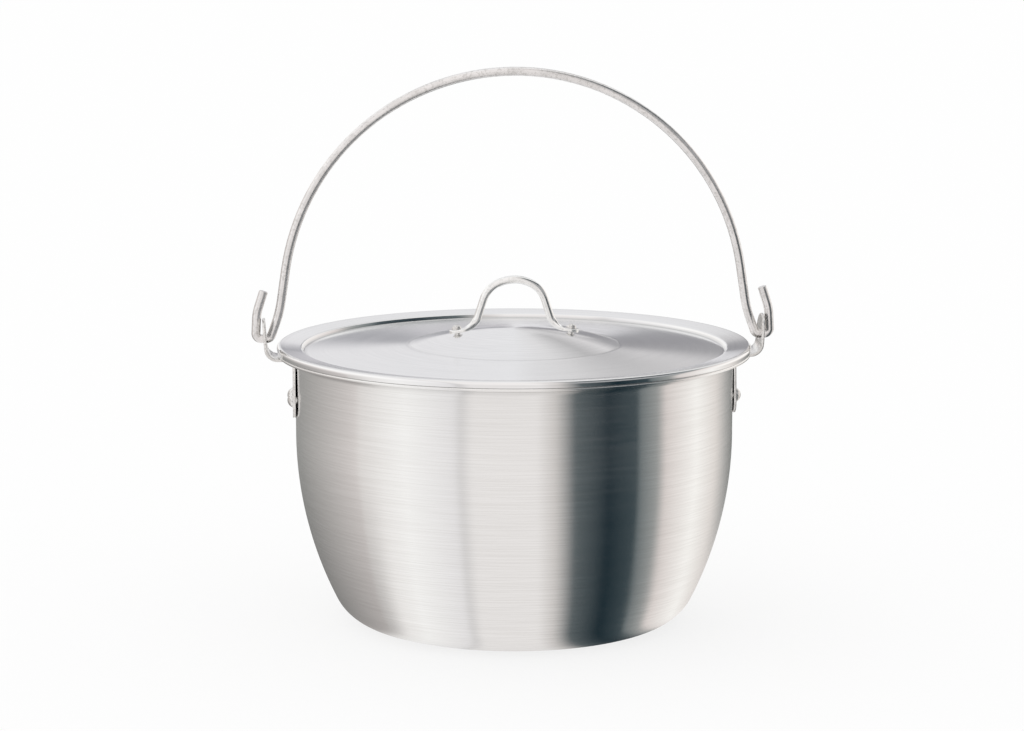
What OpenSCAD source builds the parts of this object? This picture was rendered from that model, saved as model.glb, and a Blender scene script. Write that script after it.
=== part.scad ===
// Spun aluminium cooking pot with a drop-in lid and a swinging wire bail.
// The origin is the middle of the base on the table, +Z is up and the two ears lie on the X axis.

/* [Pot] */
// Outer radius of the upright wall
wall_r = 138.5; // [134:0.5:142]
// Radius of the flat part of the base
base_r = 87.6; // [80:0.1:92]
// Radius of the rounded corner between base and side
corner_bend_r = 29.4; // [24:0.2:34]
// Angle through which the tapering side curves before it is upright
side_turn = 26.4; // [24:0.2:30]
// Thickness of the pot's sheet
pot_sheet = 1.8; // [1.2:0.1:2.2]

/* [Rim] */
// Outer radius of the rolled rim
rim_r = 149.6; // [147:0.2:150]
// Height of the top of the rolled rim above the table
rim_z = 173.6; // [171:0.2:177]
// Radius of the rolled edge
rim_bead_r = 1; // [0.95:0.05:1.3]
// Inside radius of the bend from wall to rim
rim_bend_r = 4; // [2.6:0.2:4]
// Rise of the rim towards its edge
rim_slope = 7; // [4:0.5:10]

/* [Lid] */
// Outer radius of the lid
lid_r = 150; // [148:0.2:150.4]
// Radius of the rolled hem round the lid
hem_r = 2.2; // [1.8:0.1:2.4]
// Thickness of the lid's sheet
lid_sheet = 1.2; // [0.8:0.1:1.4]
// Radius at which the flat border drops into the recess
recess_r = 134.6; // [134.2:0.1:135]
// Fall of the border from the hem to the recess
border_fall = 1.9; // [1.3:0.1:2.1]
// Depth of the recess below the top of the hem
recess_depth = 4.5; // [4.2:0.1:5.2]
// Radius of the foot of the recess wall
recess_foot_r = 133; // [132.4:0.1:133.2]
// Radius of the pressed ring where the middle of the lid starts
ring_r = 66.8; // [62:0.2:70]
// Depth of the pressed ring below the top of the hem
ring_drop = 1.2; // [0.6:0.1:1.8]
// Radius of the domed middle
dome_r = 220; // [205:1:240]

/* [Lid handle] */
// Thickness of the lid handle's wire
grip_wire = 5; // [4.4:0.1:5.2]
// Distance of each rivet from the middle of the lid
grip_rivet_x = 36.1; // [35:0.1:38]
// Radius of the top of the grip
grip_top_r = 23.5; // [22:0.5:25]
// Radius of the grip's shoulders
grip_shoulder_r = 17; // [15:0.5:17.5]
// Radius of the bend into the foot
grip_foot_r = 9; // [8:0.5:9.5]
// Slope of the grip where the top passes into the shoulder
grip_top_turn = 25; // [22:1:28]
// Length of the straight stretch between top and shoulder
grip_join = 0.5; // [0.4:0.1:1]
// Slope of the straight legs of the grip
grip_leg_slope = 72; // [71:1:74]
// Length of the straight legs of the grip
grip_leg = 12; // [10:0.5:13.5]
// Radius of the flattened end of each foot
grip_pad_r = 5.2; // [4.6:0.1:5.6]
// Thickness of the flattened end of each foot
grip_pad = 2.4; // [1.8:0.1:2.8]

/* [Bail] */
// Thickness of the bail's wire
bail_wire = 5.6; // [5:0.1:5.8]
// Radius of the arch
arch_r = 145.6; // [145:0.1:146.2]
// Lean of the straight legs from upright
leg_lean = 8.5; // [8:0.1:9]
// Radius of the bend that splays the foot of each leg
splay_r = 72; // [60:2:84]
// Angle through which the foot of each leg is splayed
splay_turn = 11.5; // [10:0.5:13]
// Straight stretch of the leg between the splay and the eye
splay_run = 8; // [6:0.5:10]
// Height of the middle of the arch above the eyes
arch_lift = 21.8; // [20:0.1:24]
// Radius of the small bends at the eyes
hook_bend_r = 3.3; // [3.2:0.1:3.6]
// Straight stretch of wire that lies in the eye
eye_run = 3.4; // [3.3:0.1:4]
// Lean of the hook from upright beside the eye
hook_lean = 3; // [1:0.5:4]
// Length of the hook beside the eye
hook_run = 9; // [8:0.5:11]
// Radius of the bend that leans the hook's tip inwards
tip_bend_r = 30; // [24:1:36]
// Angle through which the hook's tip is bent
tip_turn = 15; // [10:1:18]
// Length of the hook's straight tip
tip_len = 10.5; // [8:0.5:13]

/* [Ears] */
// Height of the eyes above the table
eye_z = 182; // [181.8:0.1:184]
// Radius of the hole of each eye
eye_hole_r = 3.3; // [3.2:0.05:3.6]
// Radius of the round tab that holds the eye
tab_r = 13; // [11:0.2:13.4]
// Lean of the tab from upright, outwards
tab_lean = 4; // [2:0.5:4]
// Thickness of the ear's strap
strap = 1.8; // [1.6:0.1:1.9]
// Radius of the bend that takes the strap out from the wall
strap_bend_r = 3.2; // [3.2:0.1:4]
// Radius of the bend that takes the strap up to the eye
tab_bend_r = 7.5; // [5:0.5:8]
// Height of the strap's middle where it passes under the rim
strap_z = 169.8; // [168.8:0.1:169.8]
// Width of the foot of the ear
plate_w = 34; // [30:0.5:38]
// Height of the lower edge of the ear
plate_z = 132.7; // [130:0.1:136]
// Radius of the lower corners of the ear
plate_corner_r = 8; // [4:0.5:12]

/* [Rivets] */
// Radius of the ear rivets' domed heads
ear_head_r = 4.75; // [4:0.05:5]
// Height of the ear rivets' domed heads
ear_head_h = 3.4; // [2.5:0.1:3.6]
// Radius of the ear rivets' shanks
ear_shank_r = 2.5; // [2:0.1:3]
// Distance of each ear rivet from the middle of its ear
ear_rivet_y = 9.5; // [8:0.1:10.5]
// Height of the ear rivets above the table
ear_rivet_z = 144.2; // [143:0.1:150]
// Radius of the lid rivets' domed heads
lid_head_r = 3.2; // [2.8:0.1:3.6]
// Height of the lid rivets' domed heads
lid_head_h = 2.6; // [2:0.1:3]
// Radius of the lid rivets' shanks
lid_shank_r = 1.8; // [1.5:0.1:2]
// Thickness of every rivet's flat tail
tail = 1.1; // [0.8:0.1:1.4]

/* [Hidden] */
$fn = 96;

// Play between pieces that rest on each other
fit = 0.3;
// How far drills pass through what they cut
drill = 20;

// Thinning of metal where it is bent, and how far a bend reaches into the straight run beside it
bend_thinning = 0.99;
bend_lap = 0.15;

// Steps along large, middle and small round stretches of an outline
many = 28;
some = 12;
few = 6;

// Side of the pot: the curve that carries the base corner up into the upright wall
corner_turn = 90 - side_turn;
side_r = (wall_r - base_r - corner_bend_r * sin(corner_turn)) / (1 - cos(side_turn));
side_mid = [wall_r - side_r, corner_bend_r * (1 - cos(corner_turn)) + side_r * sin(side_turn)];

// Rim of the pot: a bend, a shallow cone and a rolled edge
rim_bead = [rim_r - rim_bead_r, rim_z - rim_bead_r];
rim_end = rim_bead + pot_sheet / 2 * [sin(rim_slope), -cos(rim_slope)];
rim_mid_x = wall_r + rim_bend_r;
rim_mid = [
    rim_mid_x,
    rim_end.y + ((rim_mid_x - rim_end.x) * sin(rim_slope) - rim_bend_r) / cos(rim_slope)
];

// Lid heights, worked up from the rim it rests on
lid_z = rim_z + fit + 2 * hem_r;
hem_mid = [lid_r - hem_r, lid_z - hem_r];
recess_round = 1.6;
hem_proud = 0.4;
ring_edge = asin(ring_r / dome_r);
dome_mid_z = lid_z - ring_drop - dome_r * cos(ring_edge);

// Lid handle: its feet lie flat on the dome and its grip is built up from them
foot_slope = asin(grip_rivet_x / dome_r);
foot_z = dome_mid_z + dome_r * cos(foot_slope);
foot_gap = 0.05;
grip_reach = grip_top_r * sin(grip_top_turn)
    + grip_join * cos(grip_top_turn)
    + grip_shoulder_r * (sin(grip_leg_slope) - sin(grip_top_turn))
    + grip_leg * cos(grip_leg_slope)
    + grip_foot_r * (sin(grip_leg_slope) - sin(foot_slope));
grip_rise = grip_top_r * (1 - cos(grip_top_turn))
    + grip_join * sin(grip_top_turn)
    + grip_shoulder_r * (cos(grip_top_turn) - cos(grip_leg_slope))
    + grip_leg * sin(grip_leg_slope)
    + grip_foot_r * (cos(foot_slope) - cos(grip_leg_slope));
foot_run = (grip_rivet_x - grip_reach) / cos(foot_slope);
grip_top_z = foot_z + foot_run * sin(foot_slope)
    + (grip_wire / 2 + foot_gap) * cos(foot_slope) + grip_rise;

// Bail: each half is the arch, a leaning leg with a splayed foot, the bends at the eye and the hook
arch_turn = 90 - leg_lean;
foot_lean = leg_lean + splay_turn;
leg_fall = arch_lift + arch_r * sin(leg_lean)
    - splay_r * (sin(foot_lean) - sin(leg_lean))
    - splay_run * cos(foot_lean)
    - hook_bend_r * (1 - sin(foot_lean));
leg_len = leg_fall / cos(leg_lean);
eye_start_x = arch_r * cos(leg_lean)
    + leg_len * sin(leg_lean)
    + splay_r * (cos(leg_lean) - cos(foot_lean))
    + splay_run * sin(foot_lean)
    + hook_bend_r * cos(foot_lean);

// Ears: the tab stands inside the hook, set back so that the leaning hook clears its top
tab_setback = 0.7;
eye_x = eye_start_x + eye_run / 2 - tab_setback;
plate_x = wall_r + strap / 2;
tab_foot_x = eye_x - (eye_z - strap_z) * tan(tab_lean);
tab_top_x = eye_x + tab_r * tan(tab_lean);

// Rivets: flat tails lie against the hollow inside of the wall and the hollow underside of the lid
ear_tail_r = 4;
inside_r = wall_r - pot_sheet;
wall_hollow = inside_r - sqrt(pow(inside_r, 2) - pow(ear_rivet_y + ear_tail_r, 2));
ear_grip = strap + pot_sheet + wall_hollow + foot_gap;
lid_tail_r = 3.2;
lid_grip = grip_pad + lid_sheet + 2 * foot_gap;

// Points along a round stretch, from the given step on
function arc(mid, r, a0, a1, steps, first = 0) =
    [for (i = [first:steps]) let (a = a0 + (a1 - a0) * i / steps) mid + r * [cos(a), sin(a)]];

function unit(v) = v / norm(v);

// Angle between two headings, in the range -180 to 180
function turn_between(a0, a1) = (a1 - a0 + 540) % 360 - 180;

// A corner at b rounded to radius r on the way from a to c
function corner(a, b, c, r) =
    let (
        u = unit(a - b),
        w = unit(c - b),
        half = acos(u * w) / 2,
        mid = b + unit(u + w) * r / sin(half),
        from = b + u * r / tan(half) - mid,
        to = b + w * r / tan(half) - mid,
        a0 = atan2(from.y, from.x)
    )
    arc(mid, r, a0, a0 + turn_between(a0, atan2(to.y, to.x)), few);

// Left-hand side of a path at point i, lengthened where the path bends
function side_at(path, i) =
    let (
        back = unit(path[max(i, 1)] - path[max(i, 1) - 1]),
        ahead = unit(path[min(i + 1, len(path) - 1)] - path[min(i + 1, len(path) - 1) - 1]),
        mean = unit(back + ahead)
    )
    [-mean.y, mean.x] / (mean * back);

// The path moved sideways by d, with points on the axis kept there
function beside(path, d) =
    [for (i = [0:len(path) - 1]) let (p = path[i] + d * side_at(path, i)) [path[i].x == 0 ? 0 : p.x, p.y]];

function backwards(list) = [for (i = [len(list) - 1:-1:0]) list[i]];

// A sheet of even thickness that follows a path
module sheet_outline(path, thickness) {
    polygon(concat(path, backwards(beside(path, thickness))));
}

// Carries a flat section along runs and bends that start at the origin, heading along +X.
// Each step is [0, length] for a run, or [radius, turn] for a bend, upwards if turn is positive.
// Bent stretches are a little thinner, as bent metal is, and end inside the runs beside them.
module along(steps, i = 0) {
    if (i < len(steps)) {
        radius = steps[i][0];
        amount = steps[i][1];
        if (radius == 0) {
            translate([-bend_lap, 0, 0])
                rotate([90, 0, 90])
                    linear_extrude(amount + 2 * bend_lap)
                        children();
            translate([amount, 0, 0])
                along(steps, i + 1)
                    children();
        } else {
            mirror([0, 0, amount < 0 ? 1 : 0])
                translate([0, 0, radius])
                    rotate([90, 90, 0])
                        rotate_extrude(angle = abs(amount))
                            translate([radius, 0])
                                rotate(90)
                                    scale(bend_thinning)
                                        children();
            translate([radius * sin(abs(amount)), 0, sign(amount) * radius * (1 - cos(amount))])
                rotate([0, -amount, 0])
                    along(steps, i + 1)
                        children();
        }
    }
}

// The shape as drawn and its mirror image across the middle of the pot
module both_sides() {
    children();
    mirror([1, 0, 0])
        children();
}

// A round arch with its top at the origin, and the same steps carried on from both of its ends
module arched(radius, turn, steps) {
    end = [radius * sin(turn), 0, radius * (cos(turn) - 1)];
    translate([-end.x, 0, end.z])
        rotate([0, -turn, 0])
            along([[radius, -2 * turn]])
                children();
    both_sides()
        translate(end)
            rotate([0, turn, 0])
                along(steps)
                    children();
}

// A low dome of base radius r and height h
module dome(r, h) {
    ball = (r * r + h * h) / (2 * h);
    rotate_extrude()
        intersection() {
            translate([0, h - ball])
                circle(ball);
            square([r, h]);
        }
}

// A rivet whose head sits on z = 0 and whose shank runs down through what it joins
module rivet(head_r, head_h, shank_r, grip, tail_r) {
    dome(head_r, head_h);
    translate([0, 0, -grip])
        cylinder(h = grip, r = shank_r);
    translate([0, 0, -grip - tail])
        cylinder(h = tail, r = tail_r);
}

// Places a piece on the outside of the right-hand ear, its z axis pointing away from the pot
module at_ear_rivet(side) {
    translate([plate_x + strap / 2, side * ear_rivet_y, ear_rivet_z])
        rotate([0, 90, 0])
            children();
}

// Places a piece on the right-hand foot of the lid handle, its z axis square to the dome
module at_foot() {
    translate([grip_rivet_x, 0, foot_z])
        rotate([0, foot_slope, 0])
            children();
}

module pot_outline() {
    path = concat(
        [[0, 0]],
        arc([base_r, corner_bend_r], corner_bend_r, -90, corner_turn - 90, some),
        arc(side_mid, side_r, -side_turn, 0, many, 1),
        arc(rim_mid, rim_bend_r, 180, 90 + rim_slope, some),
        [rim_end]
    );
    sheet_outline(path, pot_sheet);
    translate(rim_bead)
        circle(rim_bead_r);
}

module pot_body() {
    color("#c8c7c5")
        difference() {
            rotate_extrude()
                pot_outline();
            both_sides()
                for (side = [-1, 1])
                    at_ear_rivet(side)
                        translate([0, 0, -drill])
                            cylinder(h = drill, r = ear_shank_r);
        }
}

module lid_outline() {
    ring = [ring_r, lid_z - ring_drop];
    foot = [recess_foot_r, lid_z - recess_depth];
    brow = [recess_r, lid_z - border_fall];
    border_end = [hem_mid.x, lid_z - hem_proud];
    path = concat(
        arc([0, dome_mid_z], dome_r, 90, 90 - ring_edge, many),
        corner(ring, foot, brow, recess_round),
        corner(foot, brow, border_end, recess_round),
        [border_end]
    );
    sheet_outline(path, -lid_sheet);
}

module lid() {
    color("#d6d6d6")
        difference() {
            union() {
                rotate_extrude()
                    lid_outline();
                rotate_extrude()
                    translate(hem_mid)
                        circle(hem_r);
            }
            both_sides()
                at_foot()
                    translate([0, 0, -drill / 2])
                        cylinder(h = drill, r = lid_shank_r);
        }
}

module lid_handle() {
    half_grip = [
        [0, grip_join],
        [grip_shoulder_r, grip_top_turn - grip_leg_slope],
        [0, grip_leg],
        [grip_foot_r, grip_leg_slope - foot_slope],
        [0, foot_run - lid_head_r - fit]
    ];
    color("#e6e6e4") {
        translate([0, 0, grip_top_z])
            arched(grip_top_r, grip_top_turn, half_grip)
                circle(d = grip_wire);
        both_sides()
            at_foot()
                translate([0, 0, foot_gap])
                    difference() {
                        union() {
                            cylinder(h = grip_pad, r = grip_pad_r);
                            linear_extrude(grip_pad)
                                polygon([
                                    [0, -grip_pad_r],
                                    [0, grip_pad_r],
                                    [-foot_run, grip_wire / 2],
                                    [-foot_run, -grip_wire / 2]
                                ]);
                        }
                        translate([0, 0, -drill / 2])
                            cylinder(h = drill, r = lid_shank_r);
                    }
    }
}

module lid_rivet_right() {
    color("#dededc")
        at_foot()
            translate([0, 0, grip_pad + foot_gap])
                rivet(lid_head_r, lid_head_h, lid_shank_r, lid_grip, lid_tail_r);
}

module lid_rivet_left() {
    mirror([1, 0, 0])
        lid_rivet_right();
}

module bail() {
    half_bail = [
        [0, leg_len],
        [splay_r, splay_turn],
        [0, splay_run],
        [hook_bend_r, arch_turn - splay_turn],
        [0, eye_run],
        [hook_bend_r, 90 + hook_lean],
        [0, hook_run],
        [tip_bend_r, tip_turn],
        [0, tip_len]
    ];
    color("#b9b7b5")
        translate([0, 0, eye_z + arch_lift + arch_r])
            arched(arch_r, arch_turn, half_bail)
                circle(d = bail_wire);
}

// Front view of the ear: a foot that narrows to a neck, and the round tab on top
module ear_outline() {
    low_left = [-plate_w / 2, plate_z];
    low_right = [plate_w / 2, plate_z];
    neck_left = [-tab_r, strap_z - strap_bend_r];
    neck_right = [tab_r, strap_z - strap_bend_r];
    polygon(concat(
        corner(neck_left, low_left, low_right, plate_corner_r),
        corner(low_left, low_right, neck_right, plate_corner_r),
        [neck_right, [tab_r, eye_z], [-tab_r, eye_z], neck_left]
    ));
    translate([0, eye_z])
        circle(tab_r);
}

// Side view of the ear: up the wall, out under the rim and up again to the eye
module ear_strap() {
    tab_turn = 90 - tab_lean;
    reach_out = strap_bend_r * tan(45);
    reach_up = tab_bend_r * tan(tab_turn / 2);
    tab_len = norm([tab_top_x - tab_foot_x, eye_z + tab_r - strap_z]);
    bent_strip = [
        [0, strap_z - plate_z - reach_out],
        [strap_bend_r, -90],
        [0, tab_foot_x - plate_x - reach_out - reach_up],
        [tab_bend_r, tab_turn],
        [0, tab_len - reach_up + strap]
    ];
    translate([plate_x, 0, plate_z])
        rotate([0, -90, 0])
            along(bent_strip)
                square([2 * plate_w, strap], center = true);
}

module ear_right() {
    color("#cfcdca")
        difference() {
            intersection() {
                ear_strap();
                translate([wall_r - drill, 0, 0])
                    rotate([90, 0, 90])
                        linear_extrude(4 * drill)
                            ear_outline();
            }
            translate([eye_x - drill / 2, 0, eye_z])
                rotate([0, 90, 0])
                    cylinder(h = drill, r = eye_hole_r);
            for (side = [-1, 1])
                at_ear_rivet(side)
                    translate([0, 0, -drill / 2])
                        cylinder(h = drill, r = ear_shank_r);
        }
}

module ear_left() {
    mirror([1, 0, 0])
        ear_right();
}

module ear_rivet(side) {
    color("#dad8d6")
        at_ear_rivet(side)
            rivet(ear_head_r, ear_head_h, ear_shank_r, ear_grip, ear_tail_r);
}

module ear_rivet_right_front() {
    ear_rivet(-1);
}

module ear_rivet_right_back() {
    ear_rivet(1);
}

module ear_rivet_left_front() {
    mirror([1, 0, 0])
        ear_rivet(-1);
}

module ear_rivet_left_back() {
    mirror([1, 0, 0])
        ear_rivet(1);
}

pot_body();
ear_left();
ear_right();
ear_rivet_left_front();
ear_rivet_left_back();
ear_rivet_right_front();
ear_rivet_right_back();
bail();
lid();
lid_handle();
lid_rivet_left();
lid_rivet_right();
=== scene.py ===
"""Looks of a spun aluminium cooking pot with a drop-in lid and a swinging wire bail."""

import logging
import math
from dataclasses import dataclass, field, replace
from enum import Enum
from typing import Any, Callable, Sequence

import bmesh
import bpy
from mathutils import Matrix, Vector


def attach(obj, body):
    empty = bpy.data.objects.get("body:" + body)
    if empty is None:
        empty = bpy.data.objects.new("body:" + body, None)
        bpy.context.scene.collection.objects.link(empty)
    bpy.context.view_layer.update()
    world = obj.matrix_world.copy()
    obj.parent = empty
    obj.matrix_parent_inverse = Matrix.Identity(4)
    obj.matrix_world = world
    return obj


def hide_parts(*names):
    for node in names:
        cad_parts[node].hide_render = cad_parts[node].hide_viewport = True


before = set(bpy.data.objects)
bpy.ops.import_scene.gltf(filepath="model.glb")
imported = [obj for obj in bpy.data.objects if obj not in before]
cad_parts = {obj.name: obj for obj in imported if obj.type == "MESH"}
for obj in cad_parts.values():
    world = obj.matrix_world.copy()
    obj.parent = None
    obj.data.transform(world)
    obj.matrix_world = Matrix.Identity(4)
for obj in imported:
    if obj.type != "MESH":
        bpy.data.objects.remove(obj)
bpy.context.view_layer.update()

LOG = logging.getLogger("cooking_pot")

Point2 = tuple[float, float]
Point3 = tuple[float, float, float]
Colour = tuple[float, float, float, float]

MM = 0.001
# Name of the per-vertex amount of painted shade, which darkens the metal's colour in bends and creases.
GRAIN = "grain"
PAINTED_SHADE = "residue"
WHITE: Colour = (1.0, 1.0, 1.0, 1.0)
ROUND_POWER = 2.0

# Places of the colour sockets on a mix node.
MIX_A = 6
MIX_B = 7
MIX_RESULT = 2


class Body(Enum):
    """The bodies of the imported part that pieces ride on."""

    POT = "pot"
    BAIL = "bail"
    LID = "lid"


class Side(Enum):
    """The two sides of the pot, by the sign of X."""

    LEFT = -1
    RIGHT = 1


class Depth(Enum):
    """The two rivets of an ear, by the sign of Y."""

    FRONT = -1
    BACK = 1


def linear(hex_colour: str) -> Colour:
    """Turns an sRGB hex colour into linear light.

    Args:
        hex_colour: The colour as "#rrggbb".

    Returns:
        Red, green, blue and an alpha of 1.
    """
    channels = [int(hex_colour[i:i + 2], 16) / 255 for i in (1, 3, 5)]
    lit = [c / 12.92 if c <= 0.04045 else ((c + 0.055) / 1.055) ** 2.4 for c in channels]
    return (lit[0], lit[1], lit[2], 1.0)


def add_node(tree: bpy.types.NodeTree, kind: str, inputs: dict[Any, Any] | None = None,
             **settings: Any) -> bpy.types.Node:
    """Adds one node to a tree.

    Args:
        tree: The node tree to add to.
        kind: Blender's name of the node type.
        inputs: Values or sockets for the node's inputs, by name or place.
        settings: Properties of the node.

    Returns:
        The new node.
    """
    node = tree.nodes.new(kind)
    for name, value in settings.items():
        setattr(node, name, value)
    for key, value in (inputs or {}).items():
        if isinstance(value, bpy.types.NodeSocket):
            tree.links.new(value, node.inputs[key])
        else:
            node.inputs[key].default_value = value
    return node


def arc_points(mid: Point2, radius: float, start: float, end: float, steps: int,
               first: int = 0) -> list[Point2]:
    """Points along a round stretch.

    Args:
        mid: Centre of the arc.
        radius: Its radius.
        start: Angle of its first point, in degrees.
        end: Angle of its last point, in degrees.
        steps: Number of steps between them.
        first: Step at which the list begins.

    Returns:
        The points in order.
    """
    angles = [math.radians(start + (end - start) * i / steps) for i in range(first, steps + 1)]
    return [(mid[0] + radius * math.cos(a), mid[1] + radius * math.sin(a)) for a in angles]


def rounded_corner(before: Point2, corner: Point2, after: Point2, radius: float,
                   steps: int = 10) -> list[Point2]:
    """The points that round off a corner.

    Args:
        before: A point on the way into the corner.
        corner: The sharp corner.
        after: A point on the way out of it.
        radius: Radius of the rounding.
        steps: Number of steps along it.

    Returns:
        The points of the rounding in order.
    """
    at = Vector(corner)
    into = (Vector(before) - at).normalized()
    out = (Vector(after) - at).normalized()
    half = math.acos(max(-1.0, min(1.0, into.dot(out)))) / 2
    mid = at + (into + out).normalized() * radius / math.sin(half)
    from_mid = at + into * radius / math.tan(half) - mid
    to_mid = at + out * radius / math.tan(half) - mid
    start = math.degrees(math.atan2(from_mid.y, from_mid.x))
    turn = (math.degrees(math.atan2(to_mid.y, to_mid.x)) - start + 540) % 360 - 180
    return arc_points((mid.x, mid.y), radius, start, start + turn, steps)


def beside(path: Sequence[Point2], distance: float) -> list[Point2]:
    """Moves a path sideways, as the other face of a sheet.

    Args:
        path: The points of the first face.
        distance: How far to move, to the left of the way if positive.

    Returns:
        The moved points, with points on the axis kept there.
    """
    moved: list[Point2] = []
    last = len(path) - 1
    for i, point in enumerate(path):
        back = (Vector(path[max(i, 1)]) - Vector(path[max(i, 1) - 1])).normalized()
        ahead = (Vector(path[min(i + 1, last)]) - Vector(path[min(i + 1, last) - 1])).normalized()
        mean = (back + ahead).normalized()
        reach = distance / mean.dot(back)
        x = point[0] - mean.y * reach
        moved.append((0.0 if point[0] == 0 else x, point[1] + mean.x * reach))
    return moved


def meets_circle(start: Point2, end: Point2, mid: Point2, radius: float) -> Point2:
    """Where a line that runs into a circle first meets it.

    Args:
        start: Start of the line, outside the circle.
        end: Another point of the line.
        mid: Centre of the circle.
        radius: Its radius.

    Returns:
        The meeting point.
    """
    way = (Vector(end) - Vector(start)).normalized()
    to_mid = Vector(mid) - Vector(start)
    along = to_mid.dot(way)
    miss = (to_mid - way * along).length
    meet = Vector(start) + way * (along - math.sqrt(radius * radius - miss * miss))
    return (meet.x, meet.y)


def angle_about(mid: Point2, point: Point2) -> float:
    """The direction from one point to another, in degrees."""
    return math.degrees(math.atan2(point[1] - mid[1], point[0] - mid[0]))


def evenly(start: Point2, end: Point2, step: float) -> list[Point2]:
    """Points along a straight stretch, without its ends.

    Args:
        start: Its start.
        end: Its end.
        step: Longest distance from point to point.

    Returns:
        The points in order.
    """
    count = math.ceil(math.dist(start, end) / step)
    shares = [i / count for i in range(1, count)]
    return [(start[0] + (end[0] - start[0]) * t, start[1] + (end[1] - start[1]) * t) for t in shares]


def finish_mesh(name: str, shape: bmesh.types.BMesh, grain: Sequence[Point3], crease: float,
                residue: Sequence[float] = ()) -> bpy.types.Object:
    """Turns a built shape, in mm, into an object in metres.

    Args:
        name: Name of the new object.
        shape: The shape, which is freed.
        grain: For each vertex, its place in the maker's own directions, in mm.
        crease: Edges bent by more than this many degrees stay sharp.
        residue: For each vertex, how much painted shade lies there, from 0 to 1.

    Returns:
        The object, linked to the scene.
    """
    # Moved vertices leave old normals behind, which would turn a mirrored piece inside out.
    shape.normal_update()
    bmesh.ops.recalc_face_normals(shape, faces=shape.faces)
    mesh = bpy.data.meshes.new(name)
    shape.to_mesh(mesh)
    shape.free()
    places = mesh.attributes.new(GRAIN, "FLOAT_VECTOR", "POINT")
    for item, place in zip(places.data, grain):
        item.vector = place
    # Painted shade: how much each vertex is darkened to stand in for the shade in bends and creases.
    shade_paint = mesh.attributes.new(PAINTED_SHADE, "FLOAT", "POINT")
    for item, amount in zip(shade_paint.data, residue):
        item.value = amount
    mesh.transform(Matrix.Scale(MM, 4))
    for polygon in mesh.polygons:
        polygon.use_smooth = True
    mesh.set_sharp_from_angle(angle=math.radians(crease))
    piece = bpy.data.objects.new(name, mesh)
    bpy.context.scene.collection.objects.link(piece)
    return piece


def spin(name: str, outline: Sequence[Point2], segments: int, crease: float = 40.0,
         place: Matrix | None = None,
         residue: Callable[[Point2], float] | None = None) -> bpy.types.Object:
    """Turns an outline round the Z axis, as on a lathe.

    Args:
        name: Name of the new object.
        outline: Closed outline in radius and height, in mm, from axis to axis with the metal on its left.
        segments: Number of steps round the axis.
        crease: Edges bent by more than this many degrees stay sharp.
        place: Where the turned piece goes, in mm.
        residue: Gives the painted shade at a point of the outline, from 0 to 1.

    Returns:
        The turned piece. Its grain is the way round in X and Y and the way along the outline in Z.
    """
    widest = max(point[0] for point in outline)
    shape = bmesh.new()
    grain: list[Point3] = []
    shade_paint: list[float] = []
    rings: list[list[bmesh.types.BMVert]] = []
    along = 0.0
    for i, (radius, height) in enumerate(outline):
        if i:
            along += math.dist(outline[i - 1], outline[i])
        ring = []
        for j in range(segments if radius > 0 else 1):
            angle = math.tau * j / segments
            ring.append(shape.verts.new((radius * math.cos(angle), radius * math.sin(angle), height)))
            reach = widest if radius > 0 else 0.0
            grain.append((reach * math.cos(angle), reach * math.sin(angle), along))
            shade_paint.append(residue((radius, height)) if residue else 0.0)
        rings.append(ring)
    for low, high in zip(rings, rings[1:]):
        for j in range(segments):
            after = (j + 1) % segments
            corners = [low[j % len(low)], low[after % len(low)],
                       high[after % len(high)], high[j % len(high)]]
            shape.faces.new(list(dict.fromkeys(corners)))
    if place is not None:
        bmesh.ops.transform(shape, matrix=place, verts=shape.verts)
    return finish_mesh(name, shape, grain, crease, shade_paint)


@dataclass(frozen=True)
class BentLine:
    """A line of straight runs and round bends in the XZ plane, in mm.

    Each step is (0, length) for a run, or (radius, turn in degrees) for a bend, to the left if positive.
    """

    start: Point2
    heading: float
    steps: tuple[Point2, ...]

    def lengths(self) -> list[float]:
        """The length of each step along the line."""
        return [abs(math.radians(amount)) * radius if radius else amount for radius, amount in self.steps]

    def place(self, along: float) -> tuple[float, float, float]:
        """Finds a point of the line.

        Args:
            along: Length along the line; past either end the line runs straight on.

        Returns:
            X and Z of the point, and the heading there in degrees.
        """
        x, z = self.start
        heading = self.heading
        left = along
        last = len(self.steps) - 1
        for i, ((radius, amount), length) in enumerate(zip(self.steps, self.lengths())):
            part = left if i == last and radius == 0 else min(left, length)
            a = math.radians(heading)
            if radius == 0:
                x += part * math.cos(a)
                z += part * math.sin(a)
            else:
                way = math.copysign(1.0, amount)
                turned = a + way * part / radius
                x += way * radius * (math.sin(turned) - math.sin(a))
                z -= way * radius * (math.cos(turned) - math.cos(a))
                heading = math.degrees(turned)
            left -= part
            if left <= 0:
                break
        return x, z, heading

    def stations(self, run_step: float, bend_step: float) -> list[float]:
        """Lengths at which to take sections of the line.

        Args:
            run_step: Longest step along a run, in mm.
            bend_step: Largest step round a bend, in degrees.

        Returns:
            The lengths in order, from 0 to the whole length.
        """
        found = [0.0]
        for (radius, amount), length in zip(self.steps, self.lengths()):
            count = math.ceil(abs(amount) / bend_step if radius else length / run_step)
            begin = found[-1]
            found += [begin + length * (i + 1) / count for i in range(count)]
        return found


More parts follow.
